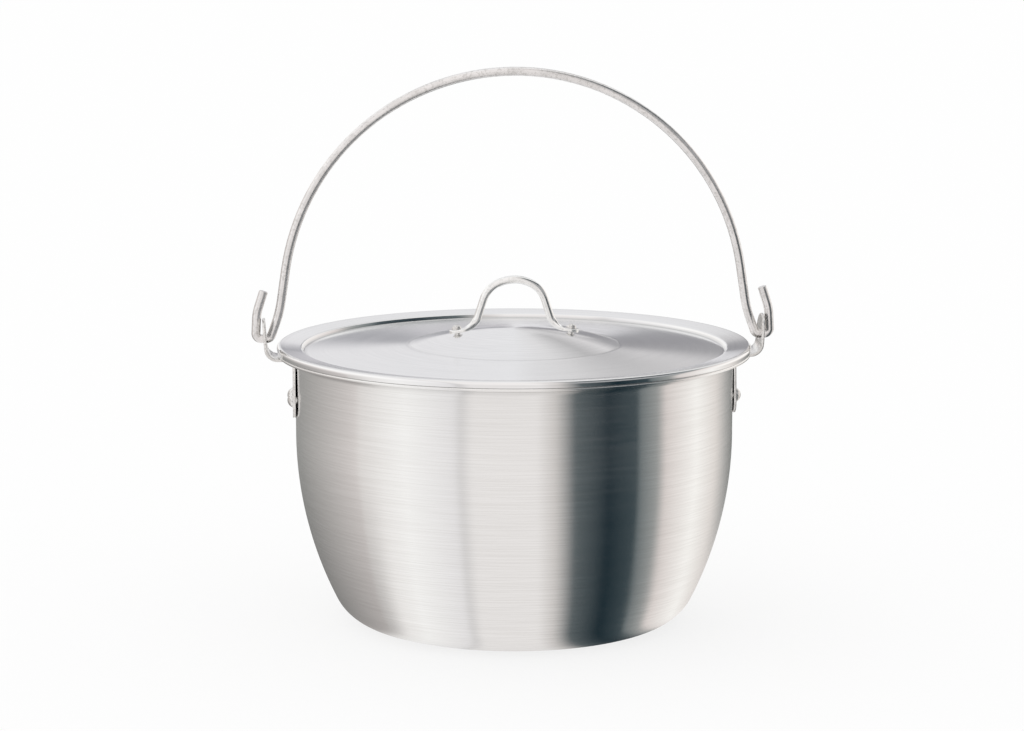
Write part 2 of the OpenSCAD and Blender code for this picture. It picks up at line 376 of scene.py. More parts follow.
@dataclass(frozen=True)
class Section:
    """One cross-section of a wire: where its middle is, how it lies and how it is shaped, in mm."""

    x: float
    z: float
    heading: float
    along: float
    thick: float
    wide: float
    square: float = ROUND_POWER

    def ring(self, count: int) -> list[tuple[Point3, Point3]]:
        """Points round the section.

        Args:
            count: Number of points.

        Returns:
            Pairs of a point and its grain: the way round the wire in X and Y, the way along it in Z.
        """
        a = math.radians(self.heading)
        points = []
        for j in range(count):
            turn = math.tau * j / count
            up = math.copysign(abs(math.cos(turn)) ** (2 / self.square), math.cos(turn)) * self.thick / 2
            side = math.copysign(abs(math.sin(turn)) ** (2 / self.square), math.sin(turn)) * self.wide / 2
            place = (self.x - up * math.sin(a), side, self.z + up * math.cos(a))
            points.append((place, (up, side, self.along)))
        return points


def draw_wire(name: str, sections: Sequence[Section], count: int, crease: float = 50.0) -> bpy.types.Object:
    """Skins a wire over its sections and closes both ends.

    Args:
        name: Name of the new object.
        sections: The sections in order.
        count: Number of points round each.
        crease: Edges bent by more than this many degrees stay sharp.

    Returns:
        The wire.
    """
    shape = bmesh.new()
    grain: list[Point3] = []
    rings = []
    for section in sections:
        ring = []
        for place, lay in section.ring(count):
            ring.append(shape.verts.new(place))
            grain.append(lay)
        rings.append(ring)
    for low, high in zip(rings, rings[1:]):
        for j in range(count):
            after = (j + 1) % count
            shape.faces.new((low[j], low[after], high[after], high[j]))
    shape.faces.new(rings[0])
    shape.faces.new(rings[-1])
    return finish_mesh(name, shape, grain, crease)


def smooth_step(value: float, low: float, high: float) -> float:
    """Rises smoothly from 0 at low to 1 at high."""
    t = max(0.0, min(1.0, (value - low) / (high - low)))
    return t * t * (3 - 2 * t)


@dataclass(frozen=True)
class SpunAluminium:
    """Aluminium sheet spun over a former and brushed with abrasive while it turned.

    The eye sees bands of reflection that stay sharp along the brush lines and smear across them, with
    fine lines that run round the piece. Sizes are in mm. The brush lines of the real sheet are about
    0.1 mm apart, which is too fine for the picture, so they are drawn as coarse as they need to be to
    show. A band is the stretch of a noise, which runs from 0 to 1, that is used.
    """

    name: str
    colour: str
    line_colour: str
    roughness: float
    line_spacing: float
    line_length: float
    ripple_spacing: float
    ripple_length: float
    line_depth: float
    ripple_depth: float
    line_tint: float = 0.5
    line_detail: float = 3.0
    line_break: float = 0.6
    line_band: tuple[float, float] = (0.35, 0.65)
    ripple_detail: float = 2.0
    ripple_band: tuple[float, float] = (0.3, 0.7)
    roughness_share: float = 0.1
    anisotropy: float = 1.0
    smear_turn: float = 0.25
    # The grey that the painted shade in bends and creases darkens towards.
    residue_colour: str = "#8f8e8d"

    def make(self) -> bpy.types.Material:
        """Builds the material."""
        material = bpy.data.materials.new(self.name)
        material.use_nodes = True
        tree = material.node_tree
        shader = tree.nodes["Principled BSDF"]
        grain = add_node(tree, "ShaderNodeAttribute", attribute_name=GRAIN).outputs["Vector"]
        line_scale = (1 / self.line_length, 1 / self.line_length, 1 / self.line_spacing)
        line_place = add_node(tree, "ShaderNodeVectorMath", {0: grain, 1: line_scale}, operation="MULTIPLY")
        lines = add_node(tree, "ShaderNodeTexNoise", {
            "Vector": line_place.outputs[0], "Scale": 1.0, "Detail": self.line_detail,
            "Roughness": self.line_break})
        ripple_scale = (1 / self.ripple_length, 1 / self.ripple_length, 1 / self.ripple_spacing)
        ripple_place = add_node(tree, "ShaderNodeVectorMath", {0: grain, 1: ripple_scale},
                                operation="MULTIPLY")
        ripples = add_node(tree, "ShaderNodeTexNoise", {
            "Vector": ripple_place.outputs[0], "Scale": 1.0, "Detail": self.ripple_detail})
        tint = add_node(tree, "ShaderNodeMapRange", {
            "Value": lines.outputs["Fac"], "From Min": self.line_band[0], "From Max": self.line_band[1],
            "To Min": self.line_tint, "To Max": 0.0})
        colour = add_node(tree, "ShaderNodeMix", {
            "Factor": tint.outputs[0], MIX_A: linear(self.colour), MIX_B: linear(self.line_colour)},
            data_type="RGBA")
        # Painted shade: the colour is darkened by the per-vertex shade amount, standing in for the shade
        # that falls in bends and creases.
        shade_paint = add_node(tree, "ShaderNodeAttribute", attribute_name=PAINTED_SHADE)
        shade_painted = add_node(tree, "ShaderNodeMix", {
            "Factor": shade_paint.outputs["Fac"], MIX_A: colour.outputs[MIX_RESULT],
            MIX_B: linear(self.residue_colour)}, data_type="RGBA")
        dull = add_node(tree, "ShaderNodeMapRange", {
            "Value": ripples.outputs["Fac"],
            "From Min": self.ripple_band[0], "From Max": self.ripple_band[1],
            "To Min": self.roughness * (1 - self.roughness_share),
            "To Max": self.roughness * (1 + self.roughness_share)})
        waves = add_node(tree, "ShaderNodeBump", {
            "Height": ripples.outputs["Fac"], "Strength": 1.0, "Distance": self.ripple_depth * MM})
        grooves = add_node(tree, "ShaderNodeBump", {
            "Height": lines.outputs["Fac"], "Strength": 1.0, "Distance": self.line_depth * MM,
            "Normal": waves.outputs[0]})
        tangent = add_node(tree, "ShaderNodeTangent", direction_type="RADIAL", axis="Z")
        shader.inputs["Metallic"].default_value = 1.0
        shader.inputs["Anisotropic"].default_value = self.anisotropy
        shader.inputs["Anisotropic Rotation"].default_value = self.smear_turn
        tree.links.new(shade_painted.outputs[MIX_RESULT], shader.inputs["Base Color"])
        tree.links.new(dull.outputs[0], shader.inputs["Roughness"])
        tree.links.new(grooves.outputs[0], shader.inputs["Normal"])
        tree.links.new(tangent.outputs[0], shader.inputs["Tangent"])
        return material


@dataclass(frozen=True)
class WorkedAluminium:
    """Aluminium wire, strip or rivet stock that was drawn, rolled or hammered and then handled.

    The eye sees a soft metal sheen with faint lines along the stock, small pits and duller patches where
    it was rubbed. Sizes are in mm. The lines and pits of the real stock are finer than the picture can
    show, so they are drawn as coarse as they need to be. A band is the stretch of a noise that is used.
    """

    name: str
    colour: str
    dull_colour: str
    roughness: float
    roughness_spread: float
    line_spacing: float
    line_length: float
    line_depth: float
    pit_size: float
    pit_depth: float
    patch_size: float
    dullness: float
    line_detail: float = 2.0
    pit_detail: float = 2.0
    pit_band: tuple[float, float] = (0.36, 0.48)
    patch_detail: float = 3.0
    rubbed_band: tuple[float, float] = (0.4, 0.65)
    sheen_band: tuple[float, float] = (0.3, 0.7)

    def make(self) -> bpy.types.Material:
        """Builds the material."""
        material = bpy.data.materials.new(self.name)
        material.use_nodes = True
        tree = material.node_tree
        shader = tree.nodes["Principled BSDF"]
        grain = add_node(tree, "ShaderNodeAttribute", attribute_name=GRAIN).outputs["Vector"]
        line_scale = (1 / self.line_spacing, 1 / self.line_spacing, 1 / self.line_length)
        line_place = add_node(tree, "ShaderNodeVectorMath", {0: grain, 1: line_scale}, operation="MULTIPLY")
        lines = add_node(tree, "ShaderNodeTexNoise", {
            "Vector": line_place.outputs[0], "Scale": 1.0, "Detail": self.line_detail})
        pits = add_node(tree, "ShaderNodeTexNoise", {
            "Vector": grain, "Scale": 1 / self.pit_size, "Detail": self.pit_detail})
        pit_shape = add_node(tree, "ShaderNodeMapRange", {
            "Value": pits.outputs["Fac"], "From Min": self.pit_band[0], "From Max": self.pit_band[1]},
            interpolation_type="SMOOTHSTEP")
        patches = add_node(tree, "ShaderNodeTexNoise", {
            "Vector": grain, "Scale": 1 / self.patch_size, "Detail": self.patch_detail})
        rubbed = add_node(tree, "ShaderNodeMapRange", {
            "Value": patches.outputs["Fac"],
            "From Min": self.rubbed_band[0], "From Max": self.rubbed_band[1],
            "To Max": self.dullness}, interpolation_type="SMOOTHSTEP")
        colour = add_node(tree, "ShaderNodeMix", {
            "Factor": rubbed.outputs[0], MIX_A: linear(self.colour), MIX_B: linear(self.dull_colour)},
            data_type="RGBA")
        pitted = add_node(tree, "ShaderNodeMix", {
            "Factor": pit_shape.outputs[0], MIX_A: linear(self.dull_colour),
            MIX_B: colour.outputs[MIX_RESULT]}, data_type="RGBA")
        dull = add_node(tree, "ShaderNodeMapRange", {
            "Value": patches.outputs["Fac"],
            "From Min": self.sheen_band[0], "From Max": self.sheen_band[1],
            "To Min": self.roughness - self.roughness_spread,
            "To Max": self.roughness + self.roughness_spread})
        dents = add_node(tree, "ShaderNodeBump", {
            "Height": pit_shape.outputs[0], "Strength": 1.0, "Distance": self.pit_depth * MM})
        grooves = add_node(tree, "ShaderNodeBump", {
            "Height": lines.outputs["Fac"], "Strength": 1.0, "Distance": self.line_depth * MM,
            "Normal": dents.outputs[0]})
        shader.inputs["Metallic"].default_value = 1.0
        tree.links.new(pitted.outputs[MIX_RESULT], shader.inputs["Base Color"])
        tree.links.new(dull.outputs[0], shader.inputs["Roughness"])
        tree.links.new(grooves.outputs[0], shader.inputs["Normal"])
        return material


# Brushed all over: clear bands of light and dark, crossed by fine lines that run round the wall.
SPUN_WALL = SpunAluminium(
    name="aluminium_spun_brushed", colour="#f7f7f6", line_colour="#e6e5e3", roughness=0.18,
    line_spacing=0.8, line_length=70.0, line_depth=0.012,
    ripple_spacing=3.0, ripple_length=50.0, ripple_depth=0.02,
)
# Finished with finer abrasive: broad fans of light round the middle, and hardly a line to be seen.
SPUN_LID = SpunAluminium(
    name="aluminium_spun_satin", colour="#f7f7f7", line_colour="#e8e8e8", roughness=0.10,
    line_spacing=0.7, line_length=90.0, line_depth=0.006,
    ripple_spacing=6.0, ripple_length=80.0, ripple_depth=0.02,
)
# Drawn through a die and much handled: a soft pale sheen with a darker streak along the wire.
DRAWN_WIRE = WorkedAluminium(
    name="aluminium_drawn_wire", colour="#f2f0ef", dull_colour="#dcdad8",
    roughness=0.26, roughness_spread=0.03, line_spacing=1.2, line_length=80.0, line_depth=0.008,
    pit_size=1.6, pit_depth=0.001, patch_size=9.0, dullness=0.4,
)
# Polished after drawing: brighter than the bail, with sharper lights.
BRIGHT_WIRE = WorkedAluminium(
    name="aluminium_polished_wire", colour="#f9f9f8", dull_colour="#ececea",
    roughness=0.16, roughness_spread=0.03, line_spacing=1.2, line_length=60.0, line_depth=0.006,
    pit_size=1.4, pit_depth=0.001, patch_size=6.0, dullness=0.4,
)
# Rolled strip, stamped and bent: pale faces with small marks and bright eased edges.
STAMPED_STRIP = WorkedAluminium(
    name="aluminium_stamped_strip", colour="#f2f1ef", dull_colour="#cfcdca",
    roughness=0.22, roughness_spread=0.05, line_spacing=0.6, line_length=25.0, line_depth=0.008,
    pit_size=0.8, pit_depth=0.006, patch_size=5.0, dullness=0.5,
)
# Heads upset with a tool: pale domes with shallow dents that are grey in the hollows.
UPSET_RIVET = WorkedAluminium(
    name="aluminium_upset_rivet", colour="#f2f1ef", dull_colour="#bdbbb8",
    roughness=0.25, roughness_spread=0.06, line_spacing=0.8, line_length=0.8, line_depth=0.01,
    pit_size=0.7, pit_depth=0.02, patch_size=3.0, dullness=0.5,
)


def place_piece(piece: bpy.types.Object, body: Body, material: bpy.types.Material,
                node: str) -> None:
    """Dresses a piece, lets it stand for its CAD node and rides it on a body.

    Args:
        piece: The finished piece, already in its place.
        body: The body it moves with.
        material: Its finish.
        node: The CAD node it stands for.
    """
    piece.data.materials.append(material)
    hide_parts(node)
    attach(piece, body.value)
    LOG.info("%s: %d faces, rides on %s", piece.name, len(piece.data.polygons), body.value)


@dataclass
class PotShell:
    """The spun pot: base, tapering side, upright wall, flared rim and rolled edge. Sizes in mm."""

    wall_r: float = 138.5
    base_r: float = 87.6
    corner_bend_r: float = 29.4
    side_turn: float = 26.4
    sheet: float = 1.8
    rim_r: float = 149.6
    rim_z: float = 173.6
    rim_bead_r: float = 1.0
    rim_bend_r: float = 4.0
    rim_slope: float = 7.0
    # Painted shade in the bend under the rim, and the heights over which it sets in.
    bend_residue: float = 0.2
    residue_span: tuple[float, float] = (166.0, 170.0)
    segments: int = 288
    base_steps: int = 8
    corner_steps: int = 30
    side_steps: int = 60
    bend_steps: int = 14
    bead_steps: int = 22

    def outline(self) -> list[Point2]:
        """The closed outline of the sheet and its rolled edge, from the underside round to the inside."""
        turn = math.radians(self.side_turn)
        slope = math.radians(self.rim_slope)
        corner_rise = self.corner_bend_r * (1 - math.sin(turn))
        side_r = (self.wall_r - self.base_r - self.corner_bend_r * math.cos(turn)) / (1 - math.cos(turn))
        side_mid = (self.wall_r - side_r, corner_rise + side_r * math.sin(turn))
        bead = (self.rim_r - self.rim_bead_r, self.rim_z - self.rim_bead_r)
        rim_end = (bead[0] + self.sheet / 2 * math.sin(slope), bead[1] - self.sheet / 2 * math.cos(slope))
        rim_x = self.wall_r + self.rim_bend_r
        rise = (rim_x - rim_end[0]) * math.sin(slope) - self.rim_bend_r
        rim_mid = (rim_x, rim_end[1] + rise / math.cos(slope))
        base = [(self.base_r * i / self.base_steps, 0.0) for i in range(self.base_steps)]
        corner_mid = (self.base_r, self.corner_bend_r)
        corner = arc_points(corner_mid, self.corner_bend_r, -90, -self.side_turn, self.corner_steps)
        side = arc_points(side_mid, side_r, -self.side_turn, 0, self.side_steps, 1)
        bend = arc_points(rim_mid, self.rim_bend_r, 180, 90 + self.rim_slope, self.bend_steps)
        outside = base + corner + side + bend + [rim_end]
        inside = beside(outside, self.sheet)
        outside[-1] = meets_circle(outside[-2], rim_end, bead, self.rim_bead_r)
        inside[-1] = meets_circle(inside[-2], inside[-1], bead, self.rim_bead_r)
        begin = angle_about(bead, outside[-1])
        end = angle_about(bead, inside[-1])
        roll_end = end + (360 if end < begin else 0)
        roll = arc_points(bead, self.rim_bead_r, begin, roll_end, self.bead_steps)
        return outside[:-1] + roll + inside[-2::-1]

    def residue(self, point: Point2) -> float:
        """The painted shade at a point: the wall's bend under the rim is darkened, as if the overhanging rim
        shaded it.
        """
        radius, height = point
        beyond = radius > self.wall_r + self.rim_bend_r or height > self.rim_z - 2 * self.rim_bead_r
        if radius < self.wall_r or beyond:
            return 0.0
        # Painted shade: darker towards the rim in the bend beneath it.
        return self.bend_residue * smooth_step(height, *self.residue_span)

    def build(self) -> None:
        """Builds and dresses the pot."""
        piece = spin("pot_shell", self.outline(), self.segments, residue=self.residue)
        place_piece(piece, Body.POT, SPUN_WALL.make(), "pot_body")


@dataclass(frozen=True)
class Rivet:
    """A rivet with a domed head on Z = 0, a shank through what it joins and a flat tail. Sizes in mm."""

    head_r: float
    head_h: float
    shank_r: float
    hold: float
    tail_r: float
    tail: float = 1.1
    edge: float = 0.3
    edge_steps: int = 5
    head_steps: int = 20
    segments: int = 48
    crease: float = 50.0

    def build(self, name: str, place: Matrix) -> bpy.types.Object:
        """Builds the rivet.

        Args:
            name: Name of the piece.
            place: Where it goes, in mm.

        Returns:
            The rivet.
        """
        ball = (self.head_r ** 2 + self.head_h ** 2) / (2 * self.head_h)
        rim = math.degrees(math.atan2(self.head_h - ball, -self.head_r)) + 180
        low = -self.hold - self.tail
        tail_edge = (self.tail_r, low)
        outline = [(0.0, low)]
        tail_top = (self.tail_r, -self.hold)
        outline += rounded_corner((0.0, low), tail_edge, tail_top, self.edge, self.edge_steps)
        outline += [tail_top, (self.shank_r, -self.hold), (self.shank_r, 0.0), (self.head_r, 0.0)]
        outline += arc_points((0.0, self.head_h - ball), ball, rim, 90, self.head_steps, 1)[:-1]
        outline.append((0.0, self.head_h))
        return spin(name, outline, self.segments, self.crease, place)


@dataclass
class Lid:
    """The spun lid with its rolled hem, recess, pressed ring and domed middle, and its wire grip.

    Sizes are in mm.
    """

    top_z: float = 178.3
    outer_r: float = 150.0
    hem_r: float = 2.2
    hem_edge_r: float = 0.5
    hem_top: float = 178.0
    hem_root: Point2 = (147.53, 177.98)
    hem_seat: Point2 = (149.6, 173.68)
    sheet: float = 1.2
    border_fall: float = 1.9
    recess_r: float = 134.6
    recess_depth: float = 4.5
    recess_foot_r: float = 133.0
    recess_round: float = 1.6
    wall_top: Point2 = (134.7, 176.3)
    wall_foot: Point2 = (132.9, 173.85)
    brow_round: float = 1.2
    foot_round: float = 0.8
    ring_r: float = 66.8
    ring_drop: float = 1.2
    groove_w: float = 1.2
    groove_depth: float = 0.05
    # Painted shade in the pressed ring, at the recess's foot and at the hem's root.
    groove_residue: float = 0.15
    foot_residue: float = 0.35
    root_residue: float = 0.08
    dome_r: float = 220.0
    grip_wire: float = 5.0
    grip_rivet_x: float = 36.1
    grip_top_r: float = 23.5
    grip_shoulder_r: float = 17.0
    grip_foot_r: float = 9.0
    grip_top_turn: float = 25.0
    grip_join: float = 0.5
    grip_leg_slope: float = 72.0
    grip_leg: float = 12.0
    grip_pad_r: float = 5.2
    grip_pad: float = 2.4
    foot_gap: float = 0.05
    flat_start: float = 13.0
    flat_end: float = 3.6
    pad_square: float = 2.5
    segments: int = 288
    dome_steps: int = 50
    hem_steps: int = 24
    under_step: float = 4.0
    slope_step: float = 2.0
    border_step: float = 1.0
    # Distances over which the painted shade at the recess's foot and the hem's root fades out.
    foot_shade_span: tuple[float, float] = (0.5, 1.8)
    root_shade_span: tuple[float, float] = (1.4, 2.2)
    grip_run_step: float = 0.8
    grip_bend_step: float = 4.0
    pad_turn_step: int = 5
    grip_points: int = 28
    dome_mid_z: float = field(init=False)
    foot_slope: float = field(init=False)
    foot_z: float = field(init=False)

    def __post_init__(self) -> None:
        """Works out the dome's middle and where the grip's feet lie on it."""
        edge = math.asin(self.ring_r / self.dome_r)
        self.dome_mid_z = self.top_z - self.ring_drop - self.dome_r * math.cos(edge)
        self.foot_slope = math.degrees(math.asin(self.grip_rivet_x / self.dome_r))
        self.foot_z = self.dome_mid_z + self.dome_r * math.cos(math.radians(self.foot_slope))

    def dome(self, reach: float) -> list[Point2]:
        """The domed middle from the axis out to a radius."""
        edge = math.degrees(math.asin(reach / self.dome_r))
        points = arc_points((0.0, self.dome_mid_z), self.dome_r, 90, 90 - edge, self.dome_steps)
        return [(0.0, points[0][1])] + points[1:]

    def upper_face(self) -> list[Point2]:
        """The upper face, from the axis to the root of the hem, with the groove of the pressed ring."""
        half = self.groove_w / 2
        dome = self.dome(self.ring_r - half)
        ring_z = self.top_z - self.ring_drop
        fall = (ring_z - self.wall_foot[1]) / (self.wall_foot[0] - self.ring_r)
        groove = (self.ring_r, ring_z - self.groove_depth)
        slope_start = (self.ring_r + half, ring_z - half * fall)
        foot = rounded_corner(slope_start, self.wall_foot, self.wall_top, self.foot_round)
        brow = rounded_corner(self.wall_foot, self.wall_top, self.hem_root, self.brow_round)
        face = dome + [groove, slope_start] + evenly(slope_start, foot[0], self.slope_step) + foot
        face += evenly(foot[-1], brow[0], self.border_step) + brow
        return face + evenly(brow[-1], self.hem_root, self.border_step) + [self.hem_root]

    def lower_face(self) -> list[Point2]:
        """The underside, from axis to hem, a sheet's thickness below the plain form of the upper face."""
        ring = (self.ring_r, self.top_z - self.ring_drop)
        foot = (self.recess_foot_r, self.top_z - self.recess_depth)
        brow = (self.recess_r, self.top_z - self.border_fall)
        border_end = (self.outer_r - self.hem_r, self.top_z - self.border_fall / 2)
        wall = rounded_corner(ring, foot, brow, self.recess_round)
        wall += rounded_corner(foot, brow, border_end, self.recess_round)
        plain = self.dome(self.ring_r) + evenly(ring, wall[0], self.under_step) + wall + [border_end]
        return beside(plain, -self.sheet)

    def outline(self) -> list[Point2]:
        """The closed outline of the sheet and its hem, from the underside round to the top."""
        hem = (self.outer_r - self.hem_r, self.hem_top - self.hem_r)
        upper = self.upper_face()
        under = self.lower_face()
        inner_seat = (hem[0] - self.hem_r, self.hem_seat[1])
        under[-1] = meets_circle(under[-2], under[-1], hem, self.hem_r)
        while math.dist(upper[-2], hem) < self.hem_r:
            upper.pop(-2)
        upper[-1] = meets_circle(upper[-2], self.hem_root, hem, self.hem_r)
        side = (self.outer_r, hem[1])
        roll = rounded_corner(under[-1], inner_seat, self.hem_seat, self.hem_edge_r)
        roll += rounded_corner(inner_seat, self.hem_seat, side, self.hem_edge_r)
        roll += arc_points(hem, self.hem_r, 0, angle_about(hem, upper[-1]), self.hem_steps)
        return under + roll + upper[-2::-1]

    def residue(self, point: Point2) -> float:
        """The painted shade at a point: darker in the pressed ring, at the recess's foot and at the hem's
        root.
        """
        radius, height = point
        if height < self.wall_foot[1]:
            return 0.0
        # Painted shade: the groove, the recess's corner and the hem's root are darkened where shade would
        # fall.
        ring = self.groove_residue * (1 - smooth_step(abs(radius - self.ring_r), 0.0, self.groove_w))
        from_foot = math.dist(point, self.wall_foot)
        foot = self.foot_residue * (1 - smooth_step(from_foot, *self.foot_shade_span))
        from_root = math.dist(point, self.hem_root)
        root = self.root_residue * (1 - smooth_step(from_root, *self.root_shade_span))
        return max(ring, foot, root)

    def grip_half(self) -> BentLine:
        """The right-hand half of the grip's middle line, from the top of the arch to the end of its foot."""
        slope = math.radians(self.foot_slope)
        shape = ((self.grip_top_r, -self.grip_top_turn), (0.0, self.grip_join),
                 (self.grip_shoulder_r, self.grip_top_turn - self.grip_leg_slope), (0.0, self.grip_leg),
                 (self.grip_foot_r, self.grip_leg_slope - self.foot_slope))
        line = BentLine((0.0, 0.0), 0.0, shape)
        reach_x, reach_z, _ = line.place(sum(line.lengths()))
        run = (self.grip_rivet_x - reach_x) / math.cos(slope)
        top_z = self.foot_z + run * math.sin(slope) - reach_z
        top_z += (self.grip_wire / 2 + self.foot_gap) * math.cos(slope)
        return BentLine((0.0, top_z), 0.0, shape + ((0.0, run + self.grip_pad_r),))

    def grip_section(self, line: BentLine, along: float, rivet_at: float) -> Section:
        """One section of the grip, round in the arch and hammered flat in the foot.

        Args:
            line: The middle line of the right-hand half.
            along: Length along it.
            rivet_at: Length at which the rivet stands.

        Returns:
            The section, with its underside kept on the lid.
        """
        x, z, heading = line.place(along)
        flat = smooth_step(along, rivet_at - self.flat_start, rivet_at - self.flat_end)
        past = max(0.0, along - rivet_at) / self.grip_pad_r
        thick = self.grip_wire + (self.grip_pad - self.grip_wire) * flat
        wide = self.grip_wire + (2 * self.grip_pad_r - self.grip_wire) * flat
        sink = (self.grip_wire - thick) / 2
        a = math.radians(heading)
        return Section(
            x=x + sink * math.sin(a), z=z - sink * math.cos(a), heading=heading, along=along, thick=thick,
            wide=wide * math.sqrt(max(0.0, 1 - past * past)), square=ROUND_POWER + self.pad_square * flat,
        )

    def grip_sections(self) -> list[Section]:
        """All sections of the grip, from the end of the left foot to the end of the right one."""
        line = self.grip_half()
        rivet_at = sum(line.lengths()) - self.grip_pad_r
        stations = line.stations(self.grip_run_step, self.grip_bend_step)
        lengths = [s for s in stations if s < rivet_at]
        turns = range(0, 90, self.pad_turn_step)
        lengths += [rivet_at + self.grip_pad_r * math.sin(math.radians(t)) for t in turns]
        right = [self.grip_section(line, s, rivet_at) for s in lengths]
        left = [replace(s, x=-s.x, heading=-s.heading, along=-s.along) for s in right[:0:-1]]
        return left + right

    def build(self) -> None:
        """Builds and dresses the lid, its grip and its two rivets."""
        disc = spin("lid_disc", self.outline(), self.segments, residue=self.residue)
        place_piece(disc, Body.LID, SPUN_LID.make(), "lid")
        grip = draw_wire("lid_grip", self.grip_sections(), self.grip_points)
        # The satin lid of the photograph shows no image of the thin wire, so glossy rays pass it by.
        grip.visible_glossy = False
        place_piece(grip, Body.LID, BRIGHT_WIRE.make(), "lid_handle")
        metal = UPSET_RIVET.make()
        lift = self.grip_pad + self.foot_gap
        hold = self.grip_pad + self.sheet + 2 * self.foot_gap
        rivet = Rivet(head_r=3.2, head_h=2.6, shank_r=1.8, hold=hold, tail_r=3.2)
        for side in Side:
            lean = Matrix.Rotation(math.radians(side.value * self.foot_slope), 4, "Y")
            spot = Matrix.Translation((side.value * self.grip_rivet_x, 0.0, self.foot_z))
            name = side.name.lower()
            piece = rivet.build(f"grip_rivet_{name}", spot @ lean @ Matrix.Translation((0.0, 0.0, lift)))
            place_piece(piece, Body.LID, metal, f"lid_rivet_{name}")


@dataclass
class Bail:
    """The bail: one length of wire, arched over the pot and hooked through both eyes. Sizes in mm."""

    wire: float = 5.6
    arch_r: float = 145.6
    leg_lean: float = 8.5
    splay_r: float = 72.0
    splay_turn: float = 11.5
    splay_run: float = 8.0
    arch_lift: float = 21.8
    eye_z: float = 182.0
    hook_bend_r: float = 3.3
    eye_run: float = 3.4
    hook_lean: float = 3.0
    hook_run: float = 9.0
    tip_bend_r: float = 30.0
    tip_turn: float = 15.0
    tip_len: float = 10.5
    cut_round: float = 0.6
    cut_clear: float = 1.5
    cut_turn_step: int = 15
    run_step: float = 3.0
    bend_step: float = 2.5
    points: int = 32

    def leg(self) -> tuple[Point2, ...]:
        """The steps of the right-hand half, from the top of the arch to the level run through the eye."""
        turn = 90 - self.leg_lean
        lean = math.radians(self.leg_lean)
        foot_lean = math.radians(self.leg_lean + self.splay_turn)
        fall = self.arch_lift + self.arch_r * math.sin(lean)
        fall -= self.splay_r * (math.sin(foot_lean) - math.sin(lean)) + self.splay_run * math.cos(foot_lean)
        fall -= self.hook_bend_r * (1 - math.sin(foot_lean))
        return ((self.arch_r, -turn), (0.0, fall / math.cos(lean)), (self.splay_r, self.splay_turn),
                (0.0, self.splay_run), (self.hook_bend_r, turn - self.splay_turn))

    def half(self) -> BentLine:
        """The right-hand half of the middle line, from the top of the arch to the end of the hook."""
        hook = ((0.0, self.eye_run), (self.hook_bend_r, 90 + self.hook_lean), (0.0, self.hook_run),
                (self.tip_bend_r, self.tip_turn), (0.0, self.tip_len))
        return BentLine((0.0, self.eye_z + self.arch_lift + self.arch_r), 0.0, self.leg() + hook)

    def eye_x(self) -> float:
        """How far out the wire starts its level run through the eye."""
        line = self.half()
        return line.place(sum(line.lengths()[:len(self.leg())]))[0]

    def sections(self) -> list[Section]:
        """All sections, from the end of the left hook to the end of the right one."""
        line = self.half()
        total = sum(line.lengths())
        stations = line.stations(self.run_step, self.bend_step)
        lengths = [s for s in stations if s < total - self.cut_clear * self.cut_round]
        turns = range(0, 91, self.cut_turn_step)
        lengths += [total - self.cut_round * (1 - math.sin(math.radians(t))) for t in turns]
        right = []
        for along in lengths:
            x, z, heading = line.place(along)
            past = max(0.0, along - (total - self.cut_round)) / self.cut_round
            size = self.wire - 2 * self.cut_round * (1 - math.sqrt(max(0.0, 1 - past * past)))
            right.append(Section(x=x, z=z, heading=heading, along=along, thick=size, wide=size))
        left = [replace(s, x=-s.x, heading=-s.heading, along=-s.along) for s in right[:0:-1]]
        return left + right

    def build(self) -> None:
        """Builds and dresses the bail."""
        piece = draw_wire("bail_arch", self.sections(), self.points)
        place_piece(piece, Body.BAIL, DRAWN_WIRE.make(), "bail")


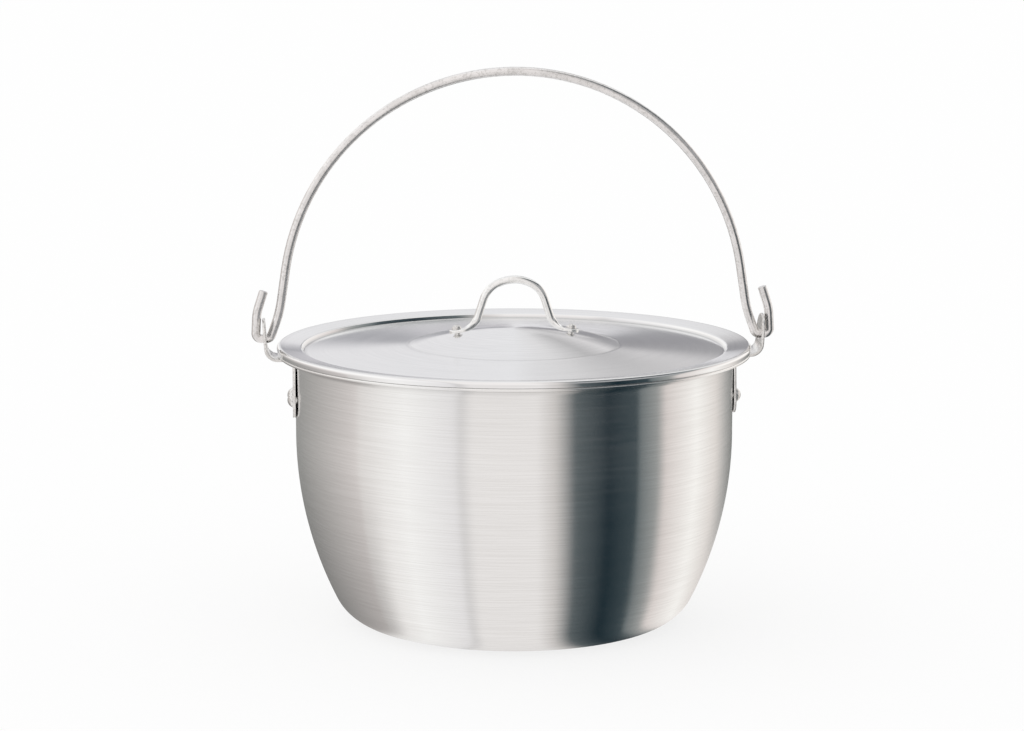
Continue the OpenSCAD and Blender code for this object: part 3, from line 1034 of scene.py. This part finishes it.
@dataclass
class Ears:
    """The two ears: stamped strip, bent out under the rim and up to the eye, each on two rivets.

    Sizes are in mm.
    """

    eye_start_x: float
    eye_run: float = 3.4
    wall_r: float = 138.5
    wall_sheet: float = 1.8
    eye_z: float = 182.0
    eye_hole_r: float = 3.3
    tab_r: float = 13.0
    tab_lean: float = 4.0
    tab_setback: float = 0.7
    strap: float = 1.8
    strap_bend_r: float = 3.2
    tab_bend_r: float = 7.5
    strap_z: float = 169.8
    plate_w: float = 34.0
    plate_z: float = 132.7
    plate_corner_r: float = 8.0
    rivet_y: float = 9.5
    rivet_z: float = 144.2
    tail_r: float = 4.0
    tail_gap: float = 0.05
    edge: float = 0.4
    edge_steps: int = 3
    edge_profile: float = 0.5
    edge_turn: float = 80.0
    corner_steps: int = 16
    tab_steps: int = 40
    hole_steps: int = 32
    on_axis: float = 1e-6
    weld: float = 1e-4
    run_step: float = 3.0
    bend_step: float = 9.0
    crease: float = 50.0

    def middle_line(self) -> BentLine:
        """The right-hand strip's middle line, from its foot up the wall, out and up to the tab's top."""
        lean = math.radians(self.tab_lean)
        eye_x = self.eye_start_x + self.eye_run / 2 - self.tab_setback
        foot_x = eye_x - (self.eye_z - self.strap_z) * math.tan(lean)
        turn = 90 - self.tab_lean
        reach_up = self.tab_bend_r * math.tan(math.radians(turn) / 2)
        plate_x = self.wall_r + self.strap / 2
        tab = (self.eye_z + self.tab_r - self.strap_z) / math.cos(lean) - reach_up
        steps = ((0.0, self.strap_z - self.plate_z - self.strap_bend_r), (self.strap_bend_r, -90.0),
                 (0.0, foot_x - plate_x - self.strap_bend_r - reach_up), (self.tab_bend_r, turn), (0.0, tab))
        return BentLine((plate_x, self.plate_z), 90.0, steps)

    def half_blank(self, line: BentLine) -> list[Point2]:
        """The right-hand half of the flat blank, across and along, with its half of the eye cut out."""
        lengths = line.lengths()
        top = sum(lengths)
        eye = top - self.tab_r
        neck = lengths[0]
        foot = self.plate_w / 2
        outer = [(0.0, 0.0)]
        shoulder = (self.tab_r, neck)
        outer += rounded_corner((0.0, 0.0), (foot, 0.0), shoulder, self.plate_corner_r, self.corner_steps)
        outer += [shoulder]
        outer += arc_points((0.0, eye), self.tab_r, 0, 90, self.tab_steps)
        hole = arc_points((0.0, eye), self.eye_hole_r, 90, -90, self.hole_steps)
        half = outer + hole
        return [(0.0 if abs(across) < self.on_axis else across, along) for across, along in half]

    def build_strip(self, side: Side) -> bpy.types.Object:
        """Cuts, rounds and bends one ear.

        Args:
            side: The side of the pot it is for.

        Returns:
            The bent ear.
        """
        line = self.middle_line()
        half = self.half_blank(line)
        shape = bmesh.new()
        for way in (1, -1):
            face = shape.faces.new([shape.verts.new((way * u, v, 0.0)) for u, v in half])
            if way < 0:
                face.normal_flip()
        bmesh.ops.remove_doubles(shape, verts=shape.verts, dist=self.weld)
        bottom = list(shape.faces)
        top = bmesh.ops.extrude_face_region(shape, geom=bottom, use_keep_orig=True)["geom"]
        lifted = [item for item in top if isinstance(item, bmesh.types.BMVert)]
        bmesh.ops.translate(shape, verts=lifted, vec=(0.0, 0.0, self.strap))
        bmesh.ops.recalc_face_normals(shape, faces=shape.faces)
        sharp = math.radians(self.edge_turn)
        rims = [e for e in shape.edges if len(e.link_faces) == 2 and e.calc_face_angle() > sharp]
        bmesh.ops.bevel(shape, geom=rims, offset=self.edge, segments=self.edge_steps,
                        profile=self.edge_profile, affect="EDGES")
        for level in line.stations(self.run_step, self.bend_step)[1:-1]:
            everything = list(shape.verts) + list(shape.edges) + list(shape.faces)
            bmesh.ops.bisect_plane(shape, geom=everything, dist=self.weld, plane_co=(0.0, level, 0.0),
                                   plane_no=(0.0, 1.0, 0.0))
        grain = []
        for vert in shape.verts:
            across, along, through = vert.co
            grain.append((across, through, along))
            x, z, heading = line.place(along)
            a = math.radians(heading)
            out = self.strap / 2 - through
            vert.co = (side.value * (x - out * math.sin(a)), across, z + out * math.cos(a))
        return finish_mesh(f"ear_strip_{side.name.lower()}", shape, grain, self.crease)

    def build(self) -> None:
        """Builds and dresses both ears and their rivets."""
        inside_r = self.wall_r - self.wall_sheet
        hollow = inside_r - math.sqrt(inside_r ** 2 - (self.rivet_y + self.tail_r) ** 2)
        hold = self.strap + self.wall_sheet + hollow + self.tail_gap
        rivet = Rivet(head_r=4.75, head_h=3.4, shank_r=2.5, hold=hold, tail_r=self.tail_r)
        strip = STAMPED_STRIP.make()
        metal = UPSET_RIVET.make()
        for side in Side:
            name = side.name.lower()
            place_piece(self.build_strip(side), Body.POT, strip, f"ear_{name}")
            for depth in Depth:
                spot = (side.value * (self.wall_r + self.strap), depth.value * self.rivet_y, self.rivet_z)
                turn = Matrix.Rotation(math.radians(90 * side.value), 4, "Y")
                end = f"{name}_{depth.name.lower()}"
                piece = rivet.build(f"strip_rivet_{end}", Matrix.Translation(spot) @ turn)
                place_piece(piece, Body.POT, metal, f"ear_rivet_{end}")


@dataclass(frozen=True)
class Flat:
    """One stop of the studio's walls or roof: where it lies and the grey it shows there."""

    place: float
    grey: str


@dataclass
class Studio:
    """The floor, the light and the camera. Lengths in metres, angles in degrees.

    The metal shows the studio round it, so walls and roof are painted with flats of white, grey and one
    dark cloth. A flat is placed by the slope of metal that mirrors it to the camera of the photograph:
    walls by how far that slope faces to the right, from -1 to 1, and roof panels by the way it leans,
    counted from the right towards the back. Most spans are stretches of how far it faces up, from -1 to
    1, over which something sets in.

    Low down the flats stand closer together, most of all at the foot, and higher up they lean to the left
    and are a little lighter. The far left is shaded low down. A grey wall shows through where the flats
    above eye level would be darker than it. The roof panels are drawn out towards the back, far more so
    over nearly level metal than over the dome.
    """

    azimuth: float = -4.0
    elevation: float = 9.36
    distance: float = 2.0
    lens: float = 110.79
    sensor: float = 36.0
    sight: float = 200.0
    aim_right: float = -0.00133
    aim_up: float = 0.16297
    floor_size: float = 60.0
    floor_colour: str = "#fcfcfc"
    floor_glow: float = 0.75
    top_light: str = "#fbfbfb"
    wall_flats: tuple[Flat, ...] = (
        Flat(-1.0, "#969694"), Flat(-0.71, "#dcd6d4"), Flat(-0.70, "#e8e4e2"), Flat(-0.49, "#fcfbfa"),
        Flat(-0.27, "#ebe9ea"), Flat(-0.24, "#d8d6d6"), Flat(-0.19, "#eeebea"), Flat(0.10, "#eeebea"),
        Flat(0.18, "#d2cecc"), Flat(0.27, "#5a6265"), Flat(0.42, "#1a2a32"), Flat(0.55, "#3e4a4f"),
        Flat(0.56, "#6e7678"), Flat(0.64, "#9c9e9d"), Flat(0.68, "#e0d8d5"), Flat(0.82, "#fffdfa"),
        Flat(0.91, "#e4deda"), Flat(0.96, "#aaa9a7"), Flat(1.0, "#747674"),
    )
    roof_flats: tuple[Flat, ...] = (
        Flat(-180, "#d8d7da"), Flat(-170, "#eae9eb"), Flat(-90, "#ececee"), Flat(-72, "#e4e3e4"),
        Flat(-50, "#bebdbe"), Flat(-28, "#dedcdd"), Flat(-10, "#a6a5a8"), Flat(10, "#98979b"),
        Flat(30, "#a0a0a4"), Flat(42, "#ebeaed"), Flat(88, "#ecebed"), Flat(104, "#c8c6ca"),
        Flat(130, "#d2d0d4"), Flat(150, "#a6a6ab"), Flat(166, "#a4a4a9"), Flat(180, "#d8d7da"),
    )
    flat_spread: float = 0.16
    foot_spread: float = 0.30
    foot_span: tuple[float, float] = (-0.45, -0.9)
    flat_lean: float = 0.05
    high_lean: float = 0.045
    lean_span: tuple[float, float] = (0.4, 0.58)
    flat_lift: float = 0.12
    lift_span: tuple[float, float] = (0.02, 0.3)
    low_shade: float = 0.38
    low_span: tuple[float, float] = (0.0, -0.45)
    far_left_span: tuple[float, float] = (-0.58, -0.70)
    high_wall: str = "#a8a9ab"
    high_span: tuple[float, float] = (0.16, 0.50)
    high_edge: float = 0.04
    dome_draw: float = 1.34
    level_draw: float = 4.0
    level_span: tuple[float, float] = (0.15, 0.30)
    level_edge: float = 0.02
    top_span: tuple[float, float] = (0.62, 0.78)
    roof_span: tuple[float, float] = (0.82, 0.93)

    def toward_camera(self) -> Vector:
        """The direction from the pot to the camera."""
        a = math.radians(self.azimuth)
        e = math.radians(self.elevation)
        return Vector((math.sin(a) * math.cos(e), -math.cos(a) * math.cos(e), math.sin(e)))

    def rightward(self) -> Vector:
        """The level direction to the camera's right."""
        a = math.radians(self.azimuth)
        return Vector((math.cos(a), math.sin(a), 0.0))

    def build_camera(self) -> None:
        """Sets the camera up at the photograph's angle."""
        out = self.toward_camera()
        data = bpy.data.cameras.new("photo_camera")
        data.lens = self.lens
        data.sensor_width = self.sensor
        data.clip_end = self.sight
        camera = bpy.data.objects.new("photo_camera", data)
        aim = self.rightward() * self.aim_right + Vector((0, 0, self.aim_up))
        camera.location = aim + out * self.distance
        camera.rotation_euler = (-out).to_track_quat("-Z", "Y").to_euler()
        bpy.context.scene.collection.objects.link(camera)
        bpy.context.scene.camera = camera

    def build_floor(self) -> None:
        """Lays the plain pale floor, which glows a little for the camera so that its shadow stays faint."""
        half = self.floor_size / 2
        corners = [(-half, -half, 0), (half, -half, 0), (half, half, 0), (-half, half, 0)]
        mesh = bpy.data.meshes.new("studio_floor")
        mesh.from_pydata(corners, [], [(0, 1, 2, 3)])
        floor = bpy.data.objects.new("studio_floor", mesh)
        # Glossy rays pass the floor by, so that the metal shows the low ends of the flats.
        floor.visible_glossy = False
        material = bpy.data.materials.new("studio_paper")
        material.use_nodes = True
        tree = material.node_tree
        paper = tree.nodes["Principled BSDF"]
        paper.inputs["Base Color"].default_value = linear(self.floor_colour)
        paper.inputs["Roughness"].default_value = 1.0
        paper.inputs["Specular IOR Level"].default_value = 0.0
        glow = add_node(tree, "ShaderNodeEmission", {"Color": WHITE, "Strength": 1.0})
        path = add_node(tree, "ShaderNodeLightPath")
        share = add_node(tree, "ShaderNodeMath", {0: path.outputs["Is Camera Ray"], 1: self.floor_glow},
                         operation="MULTIPLY")
        both = add_node(tree, "ShaderNodeMixShader", {
            0: share.outputs[0], 1: paper.outputs[0], 2: glow.outputs[0]})
        tree.links.new(both.outputs[0], tree.nodes["Material Output"].inputs["Surface"])
        mesh.materials.append(material)
        bpy.context.scene.collection.objects.link(floor)

    @staticmethod
    def fill_ramp(ramp: bpy.types.Node, flats: Sequence[Flat], low: float, high: float) -> None:
        """Sets a colour ramp's stops from flats.

        Args:
            ramp: The colour ramp node.
            flats: The flats in order.
            low: The place that the ramp starts at.
            high: The place that it ends at.
        """
        stops = ramp.color_ramp.elements
        while len(stops) < len(flats):
            stops.new(1.0)
        for stop, flat in zip(stops, flats):
            stop.position = (flat.place - low) / (high - low)
            stop.color = linear(flat.grey)

    def paint_walls(self, tree: bpy.types.NodeTree, right: bpy.types.NodeSocket,
                    up: bpy.types.NodeSocket) -> bpy.types.NodeSocket:
        """Paints the walls with their flats.

        Args:
            tree: The world's nodes.
            right: How far the mirroring slope faces to the right.
            up: How far it faces up.

        Returns:
            The colour of the walls.
        """
        at_foot = add_node(tree, "ShaderNodeMapRange", {
            "Value": up, "From Min": self.foot_span[0], "From Max": self.foot_span[1],
            "To Min": 1.0, "To Max": 1.0 + self.foot_spread})
        spread = add_node(tree, "ShaderNodeMath", {0: up, 1: -self.flat_spread, 2: at_foot.outputs[0]},
                          operation="MULTIPLY_ADD")
        high = add_node(tree, "ShaderNodeMapRange", {
            "Value": up, "From Min": self.lean_span[0], "From Max": self.lean_span[1],
            "To Max": self.high_lean})
        leaned = add_node(tree, "ShaderNodeMath", {0: up, 1: self.flat_lean, 2: high.outputs[0]},
                          operation="MULTIPLY_ADD")
        moved = add_node(tree, "ShaderNodeMath", {0: right, 1: spread.outputs[0], 2: leaned.outputs[0]},
                         operation="MULTIPLY_ADD")
        wall_place = add_node(tree, "ShaderNodeMapRange", {"Value": moved.outputs[0], "From Min": -1.0})
        flats = add_node(tree, "ShaderNodeValToRGB", {0: wall_place.outputs[0]})
        self.fill_ramp(flats, self.wall_flats, -1.0, 1.0)
        lift = add_node(tree, "ShaderNodeMapRange", {
            "Value": up, "From Min": self.lift_span[0], "From Max": self.lift_span[1],
            "To Min": 1.0, "To Max": 1.0 + self.flat_lift})
        down = add_node(tree, "ShaderNodeMapRange", {
            "Value": up, "From Min": self.low_span[0], "From Max": self.low_span[1]})
        left = add_node(tree, "ShaderNodeMapRange", {
            "Value": moved.outputs[0],
            "From Min": self.far_left_span[0], "From Max": self.far_left_span[1],
            "To Max": -self.low_shade}, interpolation_type="SMOOTHSTEP")
        shade = add_node(tree, "ShaderNodeMath", {
            0: down.outputs[0], 1: left.outputs[0], 2: lift.outputs[0]}, operation="MULTIPLY_ADD")
        shaded = add_node(tree, "ShaderNodeVectorMath", {0: flats.outputs[0], "Scale": shade.outputs[0]},
                          operation="SCALE")
        lower, upper = self.high_span
        above = add_node(tree, "ShaderNodeMapRange", {
            "Value": up, "From Min": lower - self.high_edge, "From Max": lower + self.high_edge},
            interpolation_type="SMOOTHSTEP")
        below = add_node(tree, "ShaderNodeMapRange", {
            "Value": up, "From Min": upper + self.high_edge, "From Max": upper - self.high_edge},
            interpolation_type="SMOOTHSTEP")
        within = add_node(tree, "ShaderNodeMath", {0: above.outputs[0], 1: below.outputs[0]},
                          operation="MINIMUM")
        grey = add_node(tree, "ShaderNodeVectorMath", {
            0: linear(self.high_wall)[:3], "Scale": within.outputs[0]}, operation="SCALE")
        wall = add_node(tree, "ShaderNodeVectorMath", {0: shaded.outputs[0], 1: grey.outputs[0]},
                        operation="MAXIMUM")
        return wall.outputs[0]

    def paint_roof(self, tree: bpy.types.NodeTree, right: bpy.types.NodeSocket,
                   away: bpy.types.NodeSocket) -> bpy.types.NodeSocket:
        """Paints the roof with its panels.

        Args:
            tree: The world's nodes.
            right: How far the mirroring slope faces to the right.
            away: How far it faces to the back.

        Returns:
            The colour of the roof.
        """
        drawn_out = add_node(tree, "ShaderNodeMath", {0: away, 1: self.level_draw}, operation="MULTIPLY")
        tilt = add_node(tree, "ShaderNodeCombineXYZ", {"X": right, "Y": drawn_out.outputs[0]})
        span = add_node(tree, "ShaderNodeVectorMath", {0: tilt.outputs[0]}, operation="LENGTH")
        inner, outer = self.level_span
        draw_in = add_node(tree, "ShaderNodeMapRange", {
            "Value": span.outputs["Value"], "From Min": inner - self.level_edge, "From Max": inner,
            "To Min": self.dome_draw, "To Max": self.level_draw})
        draw_out = add_node(tree, "ShaderNodeMapRange", {
            "Value": span.outputs["Value"], "From Min": outer, "From Max": outer + self.level_edge,
            "To Min": self.level_draw, "To Max": self.dome_draw})
        draw = add_node(tree, "ShaderNodeMath", {0: draw_in.outputs[0], 1: draw_out.outputs[0]},
                        operation="MINIMUM")
        drawn = add_node(tree, "ShaderNodeMath", {0: away, 1: draw.outputs[0]}, operation="MULTIPLY")
        lean = add_node(tree, "ShaderNodeMath", {0: drawn.outputs[0], 1: right}, operation="ARCTAN2")
        roof_place = add_node(tree, "ShaderNodeMapRange", {
            "Value": lean.outputs[0], "From Min": -math.pi, "From Max": math.pi})
        roof = add_node(tree, "ShaderNodeValToRGB", {0: roof_place.outputs[0]})
        self.fill_ramp(roof, self.roof_flats, -180.0, 180.0)
        return roof.outputs[0]

    def build_world(self) -> None:
        """Lights the scene evenly in white, and stands the flats round it for the metal to show."""
        world = bpy.data.worlds.new("studio")
        bpy.context.scene.world = world
        world.use_nodes = True
        world.cycles.sampling_method = "NONE"
        tree = world.node_tree
        way = add_node(tree, "ShaderNodeTexCoord").outputs["Generated"]
        between = add_node(tree, "ShaderNodeVectorMath", {0: way, 1: self.toward_camera()}, operation="ADD")
        slope = add_node(tree, "ShaderNodeVectorMath", {0: between.outputs[0]},
                         operation="NORMALIZE").outputs[0]
        right = add_node(tree, "ShaderNodeVectorMath", {0: slope, 1: self.rightward()},
                         operation="DOT_PRODUCT").outputs["Value"]
        back = Vector((0, 0, 1)).cross(self.rightward())
        away = add_node(tree, "ShaderNodeVectorMath", {0: slope, 1: back},
                        operation="DOT_PRODUCT").outputs["Value"]
        up = add_node(tree, "ShaderNodeSeparateXYZ", {0: slope}).outputs["Z"]
        wall = self.paint_walls(tree, right, up)
        roof = self.paint_roof(tree, right, away)
        over_wall = add_node(tree, "ShaderNodeMapRange", {
            "Value": up, "From Min": self.top_span[0], "From Max": self.top_span[1]},
            interpolation_type="SMOOTHSTEP")
        over_light = add_node(tree, "ShaderNodeMapRange", {
            "Value": up, "From Min": self.roof_span[0], "From Max": self.roof_span[1]},
            interpolation_type="SMOOTHSTEP")
        lit = add_node(tree, "ShaderNodeMix", {
            "Factor": over_wall.outputs[0], MIX_A: wall, MIX_B: linear(self.top_light)}, data_type="RGBA")
        studio = add_node(tree, "ShaderNodeMix", {
            "Factor": over_light.outputs[0], MIX_A: lit.outputs[MIX_RESULT], MIX_B: roof}, data_type="RGBA")
        path = add_node(tree, "ShaderNodeLightPath")
        seen = add_node(tree, "ShaderNodeMix", {
            "Factor": path.outputs["Is Glossy Ray"], MIX_A: WHITE, MIX_B: studio.outputs[MIX_RESULT]},
            data_type="RGBA")
        tree.links.new(seen.outputs[MIX_RESULT], tree.nodes["Background"].inputs["Color"])

    def build(self) -> None:
        """Sets up the whole studio."""
        self.build_camera()
        self.build_floor()
        self.build_world()
        bpy.context.scene.view_settings.view_transform = "Standard"


def main() -> None:
    """Builds the pot piece by piece."""
    logging.basicConfig(level=logging.INFO, format="%(message)s")
    Studio().build()
    PotShell().build()
    Lid().build()
    bail = Bail()
    bail.build()
    Ears(eye_start_x=bail.eye_x()).build()


if __name__ == "__main__":
    main()
